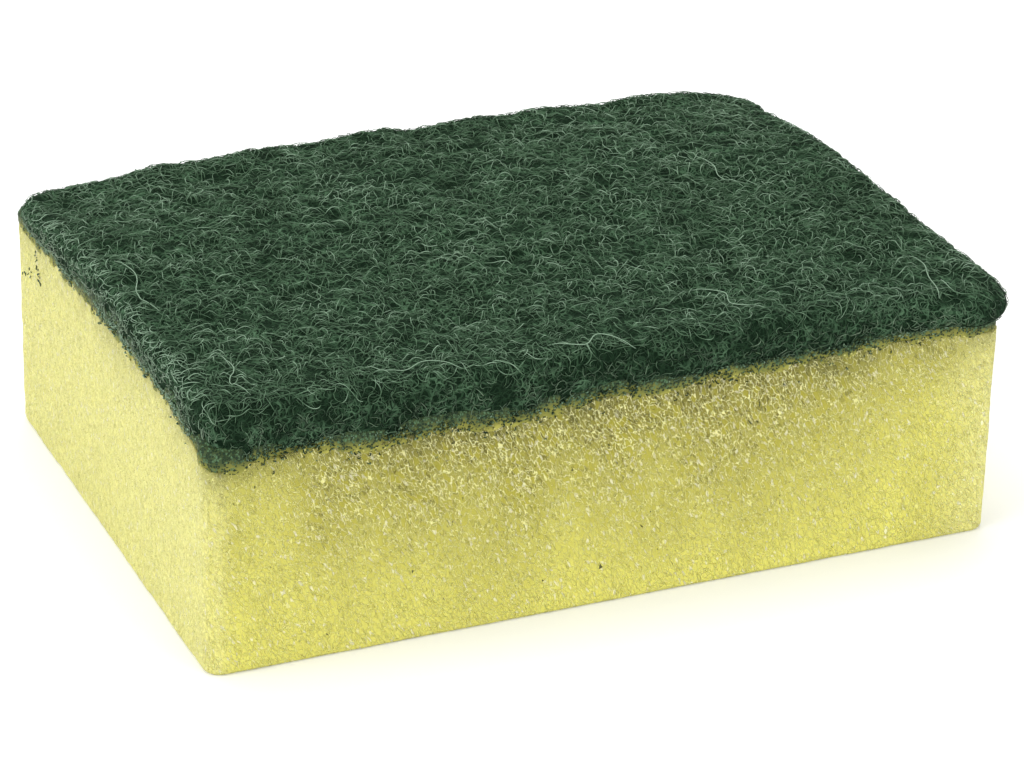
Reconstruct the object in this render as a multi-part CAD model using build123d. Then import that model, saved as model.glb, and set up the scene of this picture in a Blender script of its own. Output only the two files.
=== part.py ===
from build123d import *
import os

# Two-sided cleaning sponge: a block of open-celled foam with a non-woven scouring
# pad bonded flat on its top face. Millimetres. The origin is at the middle of the
# face that it rests on, +X runs along its length, +Y across its width, and +Z up
# to the scouring face.

# Foam block, as it is sawn and punched from a slab.
foam_length = 100.0
foam_width = 71.0
foam_height = 27.0
foam_corner_radius = 2.5      # the four upright corners
foam_base_rounding = 0.5      # the worn edge round the face that it rests on

# Adhesive film between the foam and the pad.
bond_thickness = 0.4
bond_inset = 0.2              # how far the film stops short of the foam's sides

# Scouring pad, punched a little larger than the foam.
pad_thickness = 6.6
pad_overhang = 0.5            # past the foam, all the way round
pad_corner_radius = 4.6
pad_top_rounding = 3.8        # the fibres roll down along the pad's top edge
pad_seam_rounding = 0.8       # the small roll-under along the seam

# Where each layer starts.
bond_base = foam_height
pad_base = foam_height + bond_thickness


def slab(length, width, corner_radius, thickness):
    """A flat rectangular slab on the XY plane with rounded upright corners."""
    return extrude(RectangleRounded(length, width, corner_radius), thickness)


def lowest_edges(solid):
    """The edges that bound the solid's bottom face."""
    return solid.edges().group_by(Axis.Z)[0]


def highest_edges(solid):
    """The edges that bound the solid's top face."""
    return solid.edges().group_by(Axis.Z)[-1]


def foam_block():
    """The foam: straight sawn sides, a flat top, and a softened edge round its base."""
    block = slab(foam_length, foam_width, foam_corner_radius, foam_height)
    return fillet(lowest_edges(block), foam_base_rounding)


def adhesive_layer():
    """The film of glue on the foam's top face, just inside its outline."""
    length = foam_length - 2 * bond_inset
    width = foam_width - 2 * bond_inset
    corner_radius = foam_corner_radius - bond_inset
    return Pos(0, 0, bond_base) * slab(length, width, corner_radius, bond_thickness)


def scouring_pad():
    """The fibre pad: a slab on the glue film, rolled down along its top edge."""
    length = foam_length + 2 * pad_overhang
    width = foam_width + 2 * pad_overhang
    pad = slab(length, width, pad_corner_radius, pad_thickness)
    pad = fillet(highest_edges(pad), pad_top_rounding)
    pad = fillet(lowest_edges(pad), pad_seam_rounding)
    return Pos(0, 0, pad_base) * pad


os.makedirs("parts", exist_ok=True)
export_step(foam_block(), "parts/foam_block.step")
export_step(adhesive_layer(), "parts/adhesive_layer.step")
export_step(scouring_pad(), "parts/scouring_pad.step")
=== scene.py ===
"""Looks of a two-sided cleaning sponge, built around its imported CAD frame.

A pale yellow block of open-celled foam carries a dark green pad of curled fibres, with a ragged
line of ochre glue between the two. The foam and the pad are closed skins worked out on grids,
and the fibres are thin closed tubes that lie on the pad and wrap over its edges.
"""
from __future__ import annotations

import logging
import math
from dataclasses import dataclass, field
from enum import Enum

import bpy
import numpy as np
from mathutils import Matrix, Vector


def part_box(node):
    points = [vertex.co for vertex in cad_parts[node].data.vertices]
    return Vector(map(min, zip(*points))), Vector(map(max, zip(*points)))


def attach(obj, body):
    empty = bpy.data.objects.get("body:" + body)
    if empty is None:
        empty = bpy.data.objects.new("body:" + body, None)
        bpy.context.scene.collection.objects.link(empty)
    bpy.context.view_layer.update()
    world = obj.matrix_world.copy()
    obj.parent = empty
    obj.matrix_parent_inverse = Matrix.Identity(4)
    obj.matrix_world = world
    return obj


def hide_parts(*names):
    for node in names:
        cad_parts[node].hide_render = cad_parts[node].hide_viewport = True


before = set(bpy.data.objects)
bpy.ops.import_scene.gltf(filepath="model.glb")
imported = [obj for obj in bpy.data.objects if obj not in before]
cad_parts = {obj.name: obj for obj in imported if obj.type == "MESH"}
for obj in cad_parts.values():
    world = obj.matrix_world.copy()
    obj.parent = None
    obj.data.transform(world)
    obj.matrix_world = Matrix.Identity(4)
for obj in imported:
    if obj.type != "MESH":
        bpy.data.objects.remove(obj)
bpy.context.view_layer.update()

MM = 0.001
BODY = "root"
BAKE_MAP = "OFBake"
LOG = logging.getLogger("sponge")


# ---------------------------------------------------------------- numbers on grids


def smooth(low: float, high: float, value: np.ndarray) -> np.ndarray:
    """Smooth step: 0 below low, 1 above high, and 3t squared less 2t cubed between."""
    t = np.clip((value - low) / (high - low), 0.0, 1.0)
    return t * t * (3.0 - 2.0 * t)


def unit(vectors: np.ndarray) -> np.ndarray:
    """Each vector divided by its own length."""
    return vectors / np.maximum(np.linalg.norm(vectors, axis=-1, keepdims=True), 1e-12)


@dataclass(frozen=True)
class Lumps:
    """Smooth noise: random values on a cubic lattice, blended between its corners."""

    spacing: float
    seed: int
    table_side: int = 32

    def at(self, points: np.ndarray) -> np.ndarray:
        """The noise at some points.

        The value is the sum over a lattice cube's eight corners of the corner's random number
        times the product of a smooth step along each axis.

        Args:
            points: places in metres, with three numbers each.

        Returns:
            One value for each point, from -1 to 1.
        """
        table = np.random.default_rng(self.seed).uniform(-1.0, 1.0, (self.table_side,) * 3)
        place = np.asarray(points) / self.spacing
        corner = np.floor(place).astype(int)
        share = smooth(0.0, 1.0, place - corner)
        total = np.zeros(place.shape[:-1])
        for step in np.ndindex(2, 2, 2):
            index = (corner + step) % self.table_side
            weight = np.where(np.array(step) == 1, share, 1.0 - share).prod(axis=-1)
            total += weight * table[index[..., 0], index[..., 1], index[..., 2]]
        return total


class CellSeeds:
    """The seed points of a foam's cells: one at a random place in each cube of a unit lattice.

    The random places come from the same integer scramble as the shader's cell texture, so that
    the pits in the mesh lie by the cells that the material draws, which are bent a little more.
    """

    START = 0xDEADBEEF + 13
    MIX = (("a", "c", 4, "b"), ("b", "a", 6, "c"), ("c", "b", 8, "a"),
           ("a", "c", 16, "b"), ("b", "a", 19, "c"), ("c", "b", 4, "a"))
    LAST = (("c", "b", 14), ("a", "c", 11), ("b", "a", 25), ("c", "b", 16),
            ("a", "c", 4), ("b", "a", 14), ("c", "b", 24))

    @staticmethod
    def turn(value: np.ndarray, bits: int) -> np.ndarray:
        """The value's 32 bits turned left by some places."""
        return (value << np.uint32(bits)) | (value >> np.uint32(32 - bits))

    @classmethod
    def scramble(cls, words: list[np.ndarray]) -> np.ndarray:
        """Scrambles three or four words of 32 bits into one number from 0 to 1.

        Args:
            words: three or four arrays of unsigned 32-bit integers.

        Returns:
            One random-looking number for each entry.
        """
        start = np.uint32((cls.START + 4 * len(words)) & 0xFFFFFFFF)
        pool = {key: start + word for key, word in zip("abc", words)}
        if len(words) == 4:
            for first, second, bits, third in cls.MIX:
                pool[first] = (pool[first] - pool[second]) ^ cls.turn(pool[second], bits)
                pool[second] = pool[second] + pool[third]
            pool["a"] = pool["a"] + words[3]
        for first, second, bits in cls.LAST:
            pool[first] = (pool[first] ^ pool[second]) - cls.turn(pool[second], bits)
        return pool["c"].astype(np.float64) / 0xFFFFFFFF

    @classmethod
    def of(cls, cubes: np.ndarray) -> np.ndarray:
        """The three random numbers of each lattice cube, which are also its cell's colour."""
        words = [np.ascontiguousarray(cubes[..., k], np.float32).view(np.uint32) for k in range(3)]
        extra = [np.full_like(words[0], np.float32(k).view(np.uint32)) for k in (1.0, 2.0)]
        return np.stack([cls.scramble(words)] + [cls.scramble(words + [e]) for e in extra], axis=-1)

    @classmethod
    def walls(cls, places: np.ndarray) -> tuple[np.ndarray, np.ndarray]:
        """How far each place is from its cell's nearest wall.

        A cell is all that is nearest to one seed. The distance to the wall shared with another
        cell is the middle of the two seeds' offsets, projected on the line between them.

        Args:
            places: points in lattice units.

        Returns:
            The distance to the nearest wall, and the nearest seed's three random numbers.
        """
        cube = np.floor(places)
        steps = np.array(list(np.ndindex(3, 3, 3)), float) - 1.0
        numbers = cls.of(cube[None] + steps[:, None])
        offsets = steps[:, None] + numbers - (places - cube)[None]
        nearest = np.argmin((offsets ** 2).sum(axis=-1), axis=0)
        row = np.arange(len(places))
        home = offsets[nearest, row]
        across = offsets - home[None]
        length = np.linalg.norm(across, axis=-1)
        middle = ((offsets + home[None]) / 2.0 * across).sum(axis=-1) / np.maximum(length, 1e-9)
        distance = np.where(length > 0.01, middle, np.inf).min(axis=0)
        return distance, numbers[nearest, row]


@dataclass(frozen=True)
class Outline:
    """A rounded rectangle in plan, about the origin, as a line that carries its own normal."""

    half_x: float
    half_y: float
    radius: float

    def points(self, share: np.ndarray) -> tuple[np.ndarray, np.ndarray]:
        """Points round the outline, from the front-left corner anticlockwise.

        The centre of curvature walks the inner rectangle while the normal stands still along a
        straight, and stands still at a corner while the normal turns by a right angle.

        Args:
            share: how far round each point is, from 0 to 1.

        Returns:
            The centre of curvature and the outward normal of each point, both in plan.
        """
        a, b = self.half_x - self.radius, self.half_y - self.radius
        arc = math.pi / 2 * self.radius
        corners = np.array([(-a, -b), (a, -b), (a, -b), (a, b), (a, b), (-a, b), (-a, b), (-a, -b), (-a, -b)])
        turns = np.array([-1, -1, 0, 0, 1, 1, 2, 2, 3]) * math.pi / 2
        lengths = np.cumsum([0.0, 2 * a, arc, 2 * b, arc, 2 * a, arc, 2 * b, arc])
        s = np.asarray(share) * lengths[-1]
        centre = np.stack([np.interp(s, lengths, corners[:, k]) for k in (0, 1)], axis=-1)
        angle = np.interp(s, lengths, turns)
        return centre, np.stack([np.cos(angle), np.sin(angle)], axis=-1)


# ---------------------------------------------------------------- meshes


def mesh_piece(name: str, points: np.ndarray, faces: list[np.ndarray],
               maps: list[np.ndarray] | None = None,
               attributes: dict[str, np.ndarray] | None = None) -> bpy.types.Object:
    """Makes a smooth-shaded mesh object at the origin from arrays.

    Args:
        name: the piece's name.
        points: its vertices in metres.
        faces: arrays of vertex numbers, each with one face a row.
        maps: for each array of faces, the bake map's place of each corner.
        attributes: values kept on the vertices, one number or three each, by name.

    Returns:
        The new object, linked to the scene.
    """
    mesh = bpy.data.meshes.new(name)
    corners = np.concatenate([f.ravel() for f in faces]).astype(np.int32)
    sizes = np.concatenate([np.full(len(f), f.shape[1]) for f in faces])
    mesh.vertices.add(len(points))
    mesh.vertices.foreach_set("co", points.astype(np.float32).ravel())
    mesh.loops.add(len(corners))
    mesh.loops.foreach_set("vertex_index", corners)
    mesh.polygons.add(len(sizes))
    mesh.polygons.foreach_set("loop_start", (np.cumsum(sizes) - sizes).astype(np.int32))
    mesh.polygons.foreach_set("use_smooth", np.ones(len(sizes), bool))
    if maps is not None:
        layer = mesh.uv_layers.new(name=BAKE_MAP, do_init=False)
        places = np.concatenate([m.reshape(-1, 2) for m in maps])
        layer.uv.foreach_set("vector", places.astype(np.float32).ravel())
    for key, values in (attributes or {}).items():
        kind, item = ("FLOAT", "value") if values.ndim == 1 else ("FLOAT_VECTOR", "vector")
        attribute = mesh.attributes.new(key, kind, "POINT")
        attribute.data.foreach_set(item, values.astype(np.float32).ravel())
    mesh.update(calc_edges=True)
    mesh.validate()
    piece = bpy.data.objects.new(name, mesh)
    bpy.context.scene.collection.objects.link(piece)
    return piece


def ring_faces(rows: int, columns: int) -> np.ndarray:
    """Quads between closed loops of vertices, whose rows climb while their columns turn left."""
    row, column = np.meshgrid(np.arange(rows - 1), np.arange(columns), indexing="ij")
    after = (column + 1) % columns
    quads = [row * columns + column, row * columns + after,
             (row + 1) * columns + after, (row + 1) * columns + column]
    return np.stack(quads, axis=-1).reshape(-1, 4)


def fan_faces(centre: int, first: int, columns: int, upward: bool) -> np.ndarray:
    """Triangles from one vertex to each side of a closed loop, facing up or down."""
    column = np.arange(columns)
    after = (column + 1) % columns
    pair = (first + column, first + after) if upward else (first + after, first + column)
    return np.stack([np.full(columns, centre), *pair], axis=-1)


# ---------------------------------------------------------------- shader recipes


class Shade:
    """A shader value that turns Python arithmetic into Math nodes."""

    def __init__(self, recipe: "Recipe", socket: bpy.types.NodeSocket) -> None:
        """Wraps an output socket of a recipe's node."""
        self.recipe = recipe
        self.socket = socket

    def _math(self, operation: str, *values: object) -> "Shade":
        """One Math node on some values, in order."""
        return self.recipe.node("ShaderNodeMath", {"operation": operation}, dict(enumerate(values)))["Value"]

    def __add__(self, other: object) -> "Shade":
        """This value plus another."""
        return self._math("ADD", self, other)

    def __radd__(self, other: object) -> "Shade":
        """A number plus this value."""
        return self._math("ADD", other, self)

    def __sub__(self, other: object) -> "Shade":
        """This value less another."""
        return self._math("SUBTRACT", self, other)

    def __rsub__(self, other: object) -> "Shade":
        """A number less this value."""
        return self._math("SUBTRACT", other, self)

    def __mul__(self, other: object) -> "Shade":
        """This value times another."""
        return self._math("MULTIPLY", self, other)

    def __rmul__(self, other: object) -> "Shade":
        """A number times this value."""
        return self._math("MULTIPLY", other, self)

    def step(self, low: float, high: float) -> "Shade":
        """A smooth step of this value: 0 at low and 1 at high, or falling if high is less."""
        ends = {"From Min": low, "From Max": high, "To Min": 0.0, "To Max": 1.0}
        if high < low:
            ends = {"From Min": high, "From Max": low, "To Min": 1.0, "To Max": 0.0}
        settings = {"interpolation_type": "SMOOTHSTEP"}
        return self.recipe.node("ShaderNodeMapRange", settings, {"Value": self, **ends})["Result"]

    def most(self, other: object) -> "Shade":
        """The larger of this value and another."""
        return self._math("MAXIMUM", self, other)

    def least(self, other: object) -> "Shade":
        """The smaller of this value and another."""
        return self._math("MINIMUM", self, other)


class Made:
    """A node that has been set up, whose outputs are read by name."""

    def __init__(self, recipe: "Recipe", node: bpy.types.Node) -> None:
        """Keeps the node and its recipe."""
        self.recipe = recipe
        self.node = node

    def __getitem__(self, name: str) -> Shade:
        """The live output of that name."""
        found = [s for s in self.node.outputs if s.enabled and s.name == name]
        return Shade(self.recipe, found[0])


class Recipe:
    """A material under construction, with one method that adds any node."""

    def __init__(self, name: str, owner: bpy.types.ID | None = None) -> None:
        """Starts with no nodes, in a new material of that name or in some other owner of nodes."""
        self.owner = owner or bpy.data.materials.new(name)
        self.owner.use_nodes = True
        self.tree = self.owner.node_tree
        self.tree.nodes.clear()

    def node(self, kind: str, settings: dict | None = None, values: dict | None = None) -> Made:
        """Adds a node.

        Args:
            kind: the node's type.
            settings: its own properties, which are set first.
            values: numbers, colours or links for its inputs, by name or number.

        Returns:
            The node, ready for its outputs to be read.
        """
        node = self.tree.nodes.new(kind)
        for key, value in (settings or {}).items():
            setattr(node, key, value)
        for key, value in (values or {}).items():
            if isinstance(key, str):
                socket = [s for s in node.inputs if s.enabled and s.name == key][0]
            else:
                socket = node.inputs[key]
            if isinstance(value, Shade):
                self.tree.links.new(value.socket, socket)
            elif isinstance(value, tuple) and len(value) == 3 and socket.type == "RGBA":
                socket.default_value = (*value, 1.0)
            else:
                socket.default_value = value
        return Made(self, node)

    def attribute(self, name: str, output: str) -> Shade:
        """A value that the mesh carries, as Fac or as Vector."""
        return self.node("ShaderNodeAttribute", {"attribute_name": name})[output]

    def place(self) -> Shade:
        """The object coordinates, in metres."""
        return self.node("ShaderNodeTexCoord")["Object"]

    def seen(self) -> Shade:
        """One where the camera sees the surface, directly or by way of gloss or glass."""
        path = self.node("ShaderNodeLightPath")
        return path["Is Camera Ray"].most(path["Is Glossy Ray"]).most(path["Is Transmission Ray"])

    def scaled(self, vector: Shade, factor: float | tuple) -> Shade:
        """A vector times a number, or times three numbers, one for each axis."""
        factors = factor if isinstance(factor, tuple) else (factor,) * 3
        settings = {"operation": "MULTIPLY"}
        return self.node("ShaderNodeVectorMath", settings, {0: vector, 1: factors})["Vector"]

    def moved(self, vector: Shade, other: Shade) -> Shade:
        """The sum of two vectors."""
        return self.node("ShaderNodeVectorMath", {"operation": "ADD"}, {0: vector, 1: other})["Vector"]

    def noise(self, vector: Shade, scale: float, detail: float = 2.0, output: str = "Fac") -> Shade:
        """Fractal noise of some scale, as a value or as a Color."""
        values = {"Vector": vector, "Scale": scale, "Detail": detail}
        return self.node("ShaderNodeTexNoise", None, values)[output]

    def cell_walls(self, vector: Shade, scale: float = 1.0) -> Shade:
        """The distance to the nearest cell wall."""
        settings = {"feature": "DISTANCE_TO_EDGE"}
        return self.node("ShaderNodeTexVoronoi", settings, {"Vector": vector, "Scale": scale})["Distance"]

    def cell_colour(self, vector: Shade, scale: float = 1.0) -> Shade:
        """The three random numbers of the nearest cell, as a colour."""
        return self.node("ShaderNodeTexVoronoi", None, {"Vector": vector, "Scale": scale})["Color"]

    def parts(self, colour: Shade) -> tuple[Shade, Shade, Shade]:
        """The three numbers of a colour."""
        made = self.node("ShaderNodeSeparateColor", None, {"Color": colour})
        return made["Red"], made["Green"], made["Blue"]

    def mix(self, factor: object, first: object, second: object) -> Shade:
        """One colour blended into another by a factor."""
        values = {"Factor": factor, "A": first, "B": second}
        return self.node("ShaderNodeMix", {"data_type": "RGBA"}, values)["Result"]

    def bump(self, height: Shade, distance: float, strength: float = 1.0) -> Shade:
        """A bumped normal from a height between 0 and 1 and the distance in metres that 1 stands for."""
        values = {"Height": height, "Distance": distance, "Strength": strength}
        return self.node("ShaderNodeBump", None, values)["Normal"]

    def finish(self, **inputs: object) -> bpy.types.Material:
        """Ends the recipe in one Principled shader.

        Args:
            inputs: its inputs, with underscores in place of the spaces in their names.

        Returns:
            The finished material.
        """
        values = {key.replace("_", " "): value for key, value in inputs.items()}
        shader = self.node("ShaderNodeBsdfPrincipled", None, values)
        self.node("ShaderNodeOutputMaterial", None, {"Surface": shader["BSDF"]})
        return self.owner


def tint(red: float, green: float, blue: float) -> tuple[float, float, float]:
    """A colour given as 0 to 255 display levels, as linear numbers.

    Each level c, as a share of 255, becomes ((c + 0.055) / 1.055) to the power 2.4, or c / 12.92
    where it is very dark.

    Args:
        red: the red level.
        green: the green level.
        blue: the blue level.

    Returns:
        The linear red, green and blue.
    """
    levels = np.array([red, green, blue]) / 255.0
    linear = np.where(levels > 0.04045, ((levels + 0.055) / 1.055) ** 2.4, levels / 12.92)
    return tuple(float(v) for v in linear)


# ---------------------------------------------------------------- finishes


@dataclass(frozen=True)
class FoamFinish:
    """Pale yellow open-celled foam: broken bright struts over olive cells, smooth where painted light makes it
    pale.
    """

    strut: tuple = tint(255, 252, 182)
    strut_soft: tuple = tint(248, 244, 150)
    cell_soft: tuple = tint(236, 231, 116)
    # the olive of open cells; its share rises towards the pad as painted shade
    cell_open_shaded: tuple = tint(146, 139, 54)
    window: tuple = tint(180, 172, 50)
    # painted shade: the dark at the bottom of open pits
    gap: tuple = tint(96, 92, 40)
    # painted light: pale, less yellow tones for the lit left face and the front corners
    pale: tuple = tint(222, 217, 128)
    painted_light_bright: tuple = tint(245, 241, 154)
    membrane: tuple = tint(250, 246, 210)
    fleck: tuple = tint(74, 78, 34)
    # glue stain together with painted shade under the pad
    soil_and_shade: tuple = tint(96, 98, 42)
    relief: float = 0.22 * MM

    def material(self) -> bpy.types.Material:
        """Builds the foam from the values that the mesh carries: where each point lies among the cells,
        how open and how shaded its cells are, the painted light, and glue stain with painted shade.

        The struts are the edges of two sizes of bent cells, each broken by noise. How open the cells
        are takes them from a smooth pale yellow to olive, with painted shade both in that olive and
        in dark gaps in the pits, and the painted light, pale and smooth, covers both. The glue stain
        and painted shade darken the foam below its top.
        """
        recipe = Recipe("foam_open_cell")
        place = recipe.attribute("cell_place", "Vector")
        open_and_shaded = recipe.attribute("openness_and_shade", "Fac")
        painted_light = recipe.attribute("painted_light", "Fac")
        soiling_and_shade = recipe.attribute("soiling_and_shade", "Fac")
        bend = recipe.scaled(recipe.noise(place, 1.3, 1.0, "Color"), 0.9)
        bent = recipe.moved(place, bend)
        walls = recipe.cell_walls(bent, 1.0)
        small_walls = recipe.cell_walls(bent, 1.75)
        red, _, blue = recipe.parts(recipe.cell_colour(bent, 1.0))
        small_red, small_green, _ = recipe.parts(recipe.cell_colour(bent, 1.75))
        breaks = recipe.noise(place, 1.9, 1.0)
        small_breaks = recipe.noise(place, 2.7, 1.0)
        window = red.step(0.70, 0.78)
        line = walls.step(0.085, 0.03) * breaks.step(0.36, 0.48)
        small_line = small_walls.step(0.11, 0.04) * small_breaks.step(0.50, 0.62) * (1.0 - 0.8 * window)
        struts = line.most(small_line * 0.8)
        tone = recipe.noise(place, 0.55, 2.0)
        # open olive cells, with painted shade that grows towards the pad and fades at the front's ends
        base = recipe.mix(open_and_shaded * (0.72 + 0.56 * tone), self.cell_soft, self.cell_open_shaded)
        base = recipe.mix(window * open_and_shaded * 0.75, base, self.window)
        # painted shade: dark hollows in the pits of the more open cells
        gaps = small_red.step(0.62, 0.9) * small_walls.step(0.05, 0.25) * (1.0 - window)
        base = recipe.mix(gaps * open_and_shaded.step(0.35, 1.0) * 0.6, base, self.gap)
        strut_colour = recipe.mix(open_and_shaded, self.strut_soft, self.strut)
        base = recipe.mix(struts * (0.40 + 0.6 * open_and_shaded), base, strut_colour)
        grain = recipe.noise(place, 7.0, 2.0)
        blotch = recipe.noise(place, 1.4, 3.0)
        mottle = (grain * 0.5 + blotch * 0.5 + struts * 0.12).step(0.42, 0.62)
        # painted light: a pale, less yellow sheen on the lit faces, mottled a little
        pale = recipe.mix(mottle, self.pale, self.painted_light_bright)
        base = recipe.mix(painted_light, base, pale)
        closed = small_green.step(0.91, 0.96) * small_walls.step(0.0, 0.2)
        base = recipe.mix(closed * 0.65, base, self.membrane)
        specks = blue.step(0.965, 0.975) * walls.step(0.30, 0.40)
        base = recipe.mix(specks * (1.0 - painted_light), base, self.fleck)
        # glue stain and painted shade, fading down from the top
        base = recipe.mix(soiling_and_shade * (0.55 + 0.6 * (1.0 - struts)), base, self.soil_and_shade)
        height = struts * 0.7 + gaps * -0.8 + grain * 0.35 + closed * 0.3
        return recipe.finish(
            Base_Color=base,
            Roughness=0.66 - 0.22 * struts - 0.22 * closed,
            Specular_IOR_Level=0.35,
            Subsurface_Weight=0.25,
            Subsurface_Radius=(1.0, 0.85, 0.35),
            Subsurface_Scale=0.5 * MM,
            Normal=recipe.bump(height, self.relief),
        )


@dataclass(frozen=True)
class FeltFinish:
    """The dense felt under the loose fibres: crossing dark green strands over near-black gaps."""

    gap: tuple = tint(14, 32, 18)
    strand: tuple = tint(56, 86, 60)
    strand_light: tuple = tint(92, 122, 94)
    relief: float = 0.2 * MM

    def material(self) -> bpy.types.Material:
        """Builds the felt from three layers of bent cell walls, which read as crossing strands."""
        recipe = Recipe("felt_dark_green")
        place = recipe.place()
        bend = recipe.scaled(recipe.noise(place, 900.0, 1.0, "Color"), 0.0011)
        bent = recipe.moved(place, bend)
        fine = recipe.cell_walls(recipe.scaled(bent, (1.0, 1.0, 0.8)), 1350.0).step(0.15, 0.03)
        middle = recipe.cell_walls(recipe.scaled(bent, (0.8, 1.1, 0.9)), 1000.0).step(0.11, 0.02)
        wide = recipe.cell_walls(recipe.scaled(bent, (1.1, 0.8, 1.0)), 720.0).step(0.08, 0.02)
        net = (fine * 0.5).most(middle * 0.75).most(wide)
        patch = recipe.noise(place, 300.0, 2.0).step(0.36, 0.62)
        base = recipe.mix(net * (0.3 + 0.7 * patch), self.gap, self.strand)
        base = recipe.mix(wide.most(middle * 0.6) * patch * 0.6, base, self.strand_light)
        return recipe.finish(
            Base_Color=base,
            Roughness=0.85,
            Specular_IOR_Level=0.06,
            Normal=recipe.bump(net, self.relief),
        )


@dataclass(frozen=True)
class FibreFinish:
    """Curled nylon fibres, from near-black green to a light grey-green, with a soft gloss."""

    name: str
    dark: tuple = tint(26, 50, 30)
    middle: tuple = tint(77, 108, 79)
    light: tuple = tint(142, 170, 144)
    grey: tuple = tint(124, 138, 118)

    def material(self) -> bpy.types.Material:
        """Builds the fibre material from the mesh's shade and greyness values."""
        recipe = Recipe(self.name)
        shade = recipe.attribute("shade", "Fac")
        greyness = recipe.attribute("greyness", "Fac")
        base = recipe.mix(shade.step(0.0, 0.55), self.dark, self.middle)
        base = recipe.mix(shade.step(0.5, 1.0), base, self.light)
        base = recipe.mix(greyness * shade, base, self.grey)
        return recipe.finish(Base_Color=base, Roughness=0.5, Specular_IOR_Level=0.22)


@dataclass(frozen=True)
class GlueFinish:
    """Glue soaked into the pad's foot: ochre, ever more crowded upwards with dark fibre ends."""

    foam: tuple = tint(172, 168, 78)
    ochre: tuple = tint(130, 131, 56)
    olive: tuple = tint(58, 76, 40)
    end: tuple = tint(24, 48, 26)
    end_light: tuple = tint(80, 112, 78)
    glint: tuple = tint(226, 220, 130)

    def material(self) -> bpy.types.Material:
        """Builds the glue from how far up its band each point is, with noise that breaks the bounds."""
        recipe = Recipe("glue_ochre")
        place = recipe.place()
        rise = recipe.attribute("rise", "Fac")
        cloud = recipe.noise(place, 420.0, 3.0)
        level = rise + (cloud - 0.5) * 0.9
        base = recipe.mix(level.step(-0.1, 0.25), self.foam, self.ochre)
        base = recipe.mix(level.step(0.2, 0.7), base, self.olive)
        red, green, _ = recipe.parts(recipe.cell_colour(place, 3600.0))
        spots = recipe.cell_walls(place, 3600.0).step(0.02, 0.16)
        ends = (red + level * 0.8).step(0.78, 0.90) * spots
        base = recipe.mix(ends, base, self.end)
        base = recipe.mix((green + level * 0.5).step(0.95, 1.1) * spots, base, self.end_light)
        glints = (green - level * 0.6).step(0.80, 0.86) * spots
        base = recipe.mix(glints * 0.7, base, self.glint)
        height = cloud + ends * -0.5 + glints * 0.5
        return recipe.finish(
            Base_Color=base,
            Roughness=0.6,
            Specular_IOR_Level=0.25,
            Normal=recipe.bump(height, 0.15 * MM),
        )


# ---------------------------------------------------------------- the seam


@dataclass(frozen=True)
class Seam:
    """The wavy line where the foam ends and the pad begins, as a rise above the CAD's flat seam.

    Each run of heights is joined by smooth steps, and noise of two sizes makes it uneven.
    """

    front_x: tuple = (-50.0, -44.0, -38.0, -31.0, -22.0, -13.0, 0.0, 22.0, 42.0, 50.0)
    front_rise: tuple = (-0.9, -0.1, 0.2, -0.6, -0.2, -0.7, 0.2, 0.4, 0.7, 0.0)
    left_y: tuple = (-36.0, -30.0, -22.0, -5.0, 14.0, 30.0, 36.0)
    left_rise: tuple = (-0.6, 1.2, 2.3, 2.0, 1.3, 0.7, 0.0)

    @staticmethod
    def joined(value: np.ndarray, stops: tuple, levels: tuple) -> np.ndarray:
        """Levels at some stops, joined by smooth steps."""
        stops, levels = np.array(stops), np.array(levels)
        index = np.clip(np.searchsorted(stops, value) - 1, 0, len(stops) - 2)
        share = smooth(0.0, 1.0, (value - stops[index]) / (stops[index + 1] - stops[index]))
        return levels[index] + share * (levels[index + 1] - levels[index])

    def rise(self, plan: np.ndarray) -> np.ndarray:
        """How far the seam stands above the CAD's, in metres.

        Args:
            plan: points in plan, in metres.

        Returns:
            One rise for each point.
        """
        x, y = plan[..., 0] / MM, plan[..., 1] / MM
        near = smooth(24.0, 34.0, -y)
        west = smooth(38.0, 48.0, -x) * (1.0 - smooth(33.0, 35.5, -y))
        flat = np.concatenate([plan, np.zeros(plan.shape[:-1] + (1,))], axis=-1)
        steady = near * self.joined(x, self.front_x, self.front_rise) * (1.0 - west)
        steady = steady + west * self.joined(y, self.left_y, self.left_rise)
        steady = steady + 0.35 * (1.0 - np.maximum(near, west))
        return (steady + 0.16 * Lumps(6.0 * MM, 51).at(flat) + 0.14 * Lumps(2.4 * MM, 52).at(flat)) * MM


# ---------------------------------------------------------------- the foam


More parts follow.
